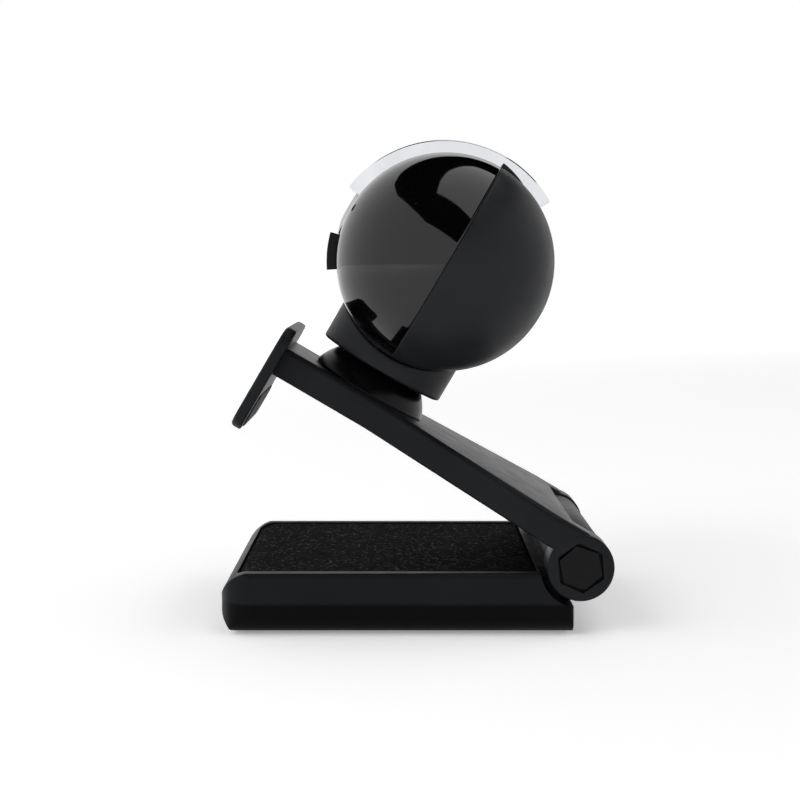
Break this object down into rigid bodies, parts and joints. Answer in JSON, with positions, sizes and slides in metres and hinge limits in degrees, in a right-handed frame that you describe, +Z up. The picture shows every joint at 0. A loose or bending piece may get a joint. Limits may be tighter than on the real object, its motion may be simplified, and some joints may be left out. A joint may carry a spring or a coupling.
{
  "type": "webcam",
  "caption": "Round-ended webcam head with a privacy shutter, on a tilting and turning cup over a folding clip arm and a padded base with a tripod thread.",
  "frame": {"origin": "middle of the footprint, on the surface that the base's rubber sheet rests on", "axes": "+Z up, -X towards the lens and the clip's lip, +X towards the hinge, Y along the hinge"},
  "size_m": [0.0558, 0.053, 0.0707],
  "materials": {
    "soft_black_plastic": "satin",
    "matt_black_plastic": "matt",
    "gloss_black_plastic": "high gloss",
    "foam_pad": "grainy soft foam",
    "black_rubber": "matt",
    "brass": "turned",
    "steel": "plated",
    "pom": "natural acetal",
    "chrome": "polished",
    "satin_silver": "satin anodised",
    "black_metal": "black anodised",
    "glass": "coated",
    "circuit_board": "solder resist",
    "chip_black": "moulded epoxy",
    "white_plastic": "natural",
    "clear_plastic": "clear acrylic",
    "flat_cable": "polyimide film"
  },
  "bodies": {
    "base": {"base_tray": "soft_black_plastic", "base_top_pad": "foam_pad", "base_bottom_cover": "soft_black_plastic", "base_grip_sheet": "black_rubber", "tripod_insert": "brass", "base_cover_screws": "steel", "hinge_bushes": "pom"},
    "arm": {"arm_plate": "soft_black_plastic", "lip_pad": "black_rubber", "hinge_pin": "steel", "hinge_caps": "soft_black_plastic", "hinge_washers": "steel", "swivel_dome": "soft_black_plastic", "swivel_friction_ring": "pom", "dome_screws": "steel", "swivel_well_cover": "soft_black_plastic"},
    "swivel": {"swivel_cup": "soft_black_plastic", "tilt_post": "steel", "cup_screws": "steel", "swivel_wave_washer": "steel", "swivel_nut": "steel"},
    "head": {"rear_shell": "matt_black_plastic", "lens_holder": "matt_black_plastic", "front_shell": "gloss_black_plastic", "band_face": "gloss_black_plastic", "microphone_boots": "black_rubber", "cable_gland": "black_rubber", "shell_screws": "steel", "tilt_axle": "steel", "tilt_nut": "steel", "sensor_board_screws": "steel", "main_board_screws": "steel", "microphones": "steel", "tilt_washers": "pom", "band_frame": "chrome", "lens_bezel": "satin_silver", "lens_barrel": "black_metal", "lens_window": "glass", "lens_elements": "glass", "infrared_filter": "glass", "sensor_board": "circuit_board", "main_board": "circuit_board", "image_sensor": "chip_black", "image_processor": "chip_black", "board_components": "chip_black", "cable_connector": "white_plastic", "status_light": "white_plastic", "light_pipe": "clear_plastic", "flex_cable": "flat_cable"},
    "shutter": {"privacy_shutter": "soft_black_plastic"}
  },
  "joints": [
    {"name": "arm_fold", "type": "hinge", "parent": "base", "child": "arm", "pos_m": [0.02312, 0, 0.0097], "axis": [0, 1, 0], "range_deg": [-30.4, 109.6]},
    {"name": "head_pan", "type": "hinge", "parent": "arm", "child": "swivel", "pos_m": [-0.00526, 0, 0.03621], "axis": [0.506, 0, 0.8625], "range_deg": [-180, 180]},
    {"name": "head_tilt", "type": "hinge", "parent": "swivel", "child": "head", "pos_m": [0.00433, 0, 0.05255], "axis": [0, 1, 0], "range_deg": [-15, 20]},
    {"name": "shutter_slide", "type": "hinge", "parent": "head", "child": "shutter", "pos_m": [0.00433, 0, 0.05255], "axis": [0, 1, 0], "range_deg": [0, 22.9]}
  ]
}
